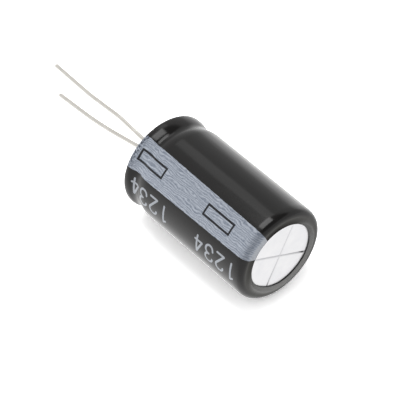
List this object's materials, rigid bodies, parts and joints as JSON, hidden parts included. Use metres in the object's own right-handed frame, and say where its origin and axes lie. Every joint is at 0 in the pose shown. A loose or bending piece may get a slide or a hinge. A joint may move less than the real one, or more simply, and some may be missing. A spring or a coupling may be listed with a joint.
{
  "type": "electrolytic capacitor",
  "caption": "Radial aluminium electrolytic capacitor: a sleeved round can with a polarity stripe, a scored end and a long and a short wire lead for a circuit board.",
  "frame": {"origin": "centre of the board plane, midway between the two leads, where the sleeved rim stands on the board", "axes": "+Z along the can from the board to the scored end, leads along -Z; +X from the positive lead to the negative lead and the stripe"},
  "size_m": [0.0184, 0.0182, 0.0649],
  "materials": {
    "sleeve": "glossy dark PVC, heat-shrunk",
    "stripe_ink": "pale blue-grey print under gloss, with fine darker streaks along it",
    "dark_ink": "dark printed line",
    "pale_ink": "grey-white printed line",
    "can": "satin drawn aluminium, pressed score lines",
    "seal": "matte black moulded rubber",
    "winding": "rolled foil and soaked separator paper",
    "closing_tape": "amber film tape",
    "tab": "pressed bare aluminium",
    "lead": "bright tinned wire"
  },
  "bodies": {
    "root": {"sleeve": "sleeve", "polarity_stripe": "stripe_ink", "minus_marks": "dark_ink", "digit_marks": "pale_ink", "can": "can", "seal": "seal", "winding": "winding", "closing_tape": "closing_tape", "positive_tab": "tab", "negative_tab": "tab", "positive_lead": "lead", "negative_lead": "lead"}
  },
  "joints": []
}
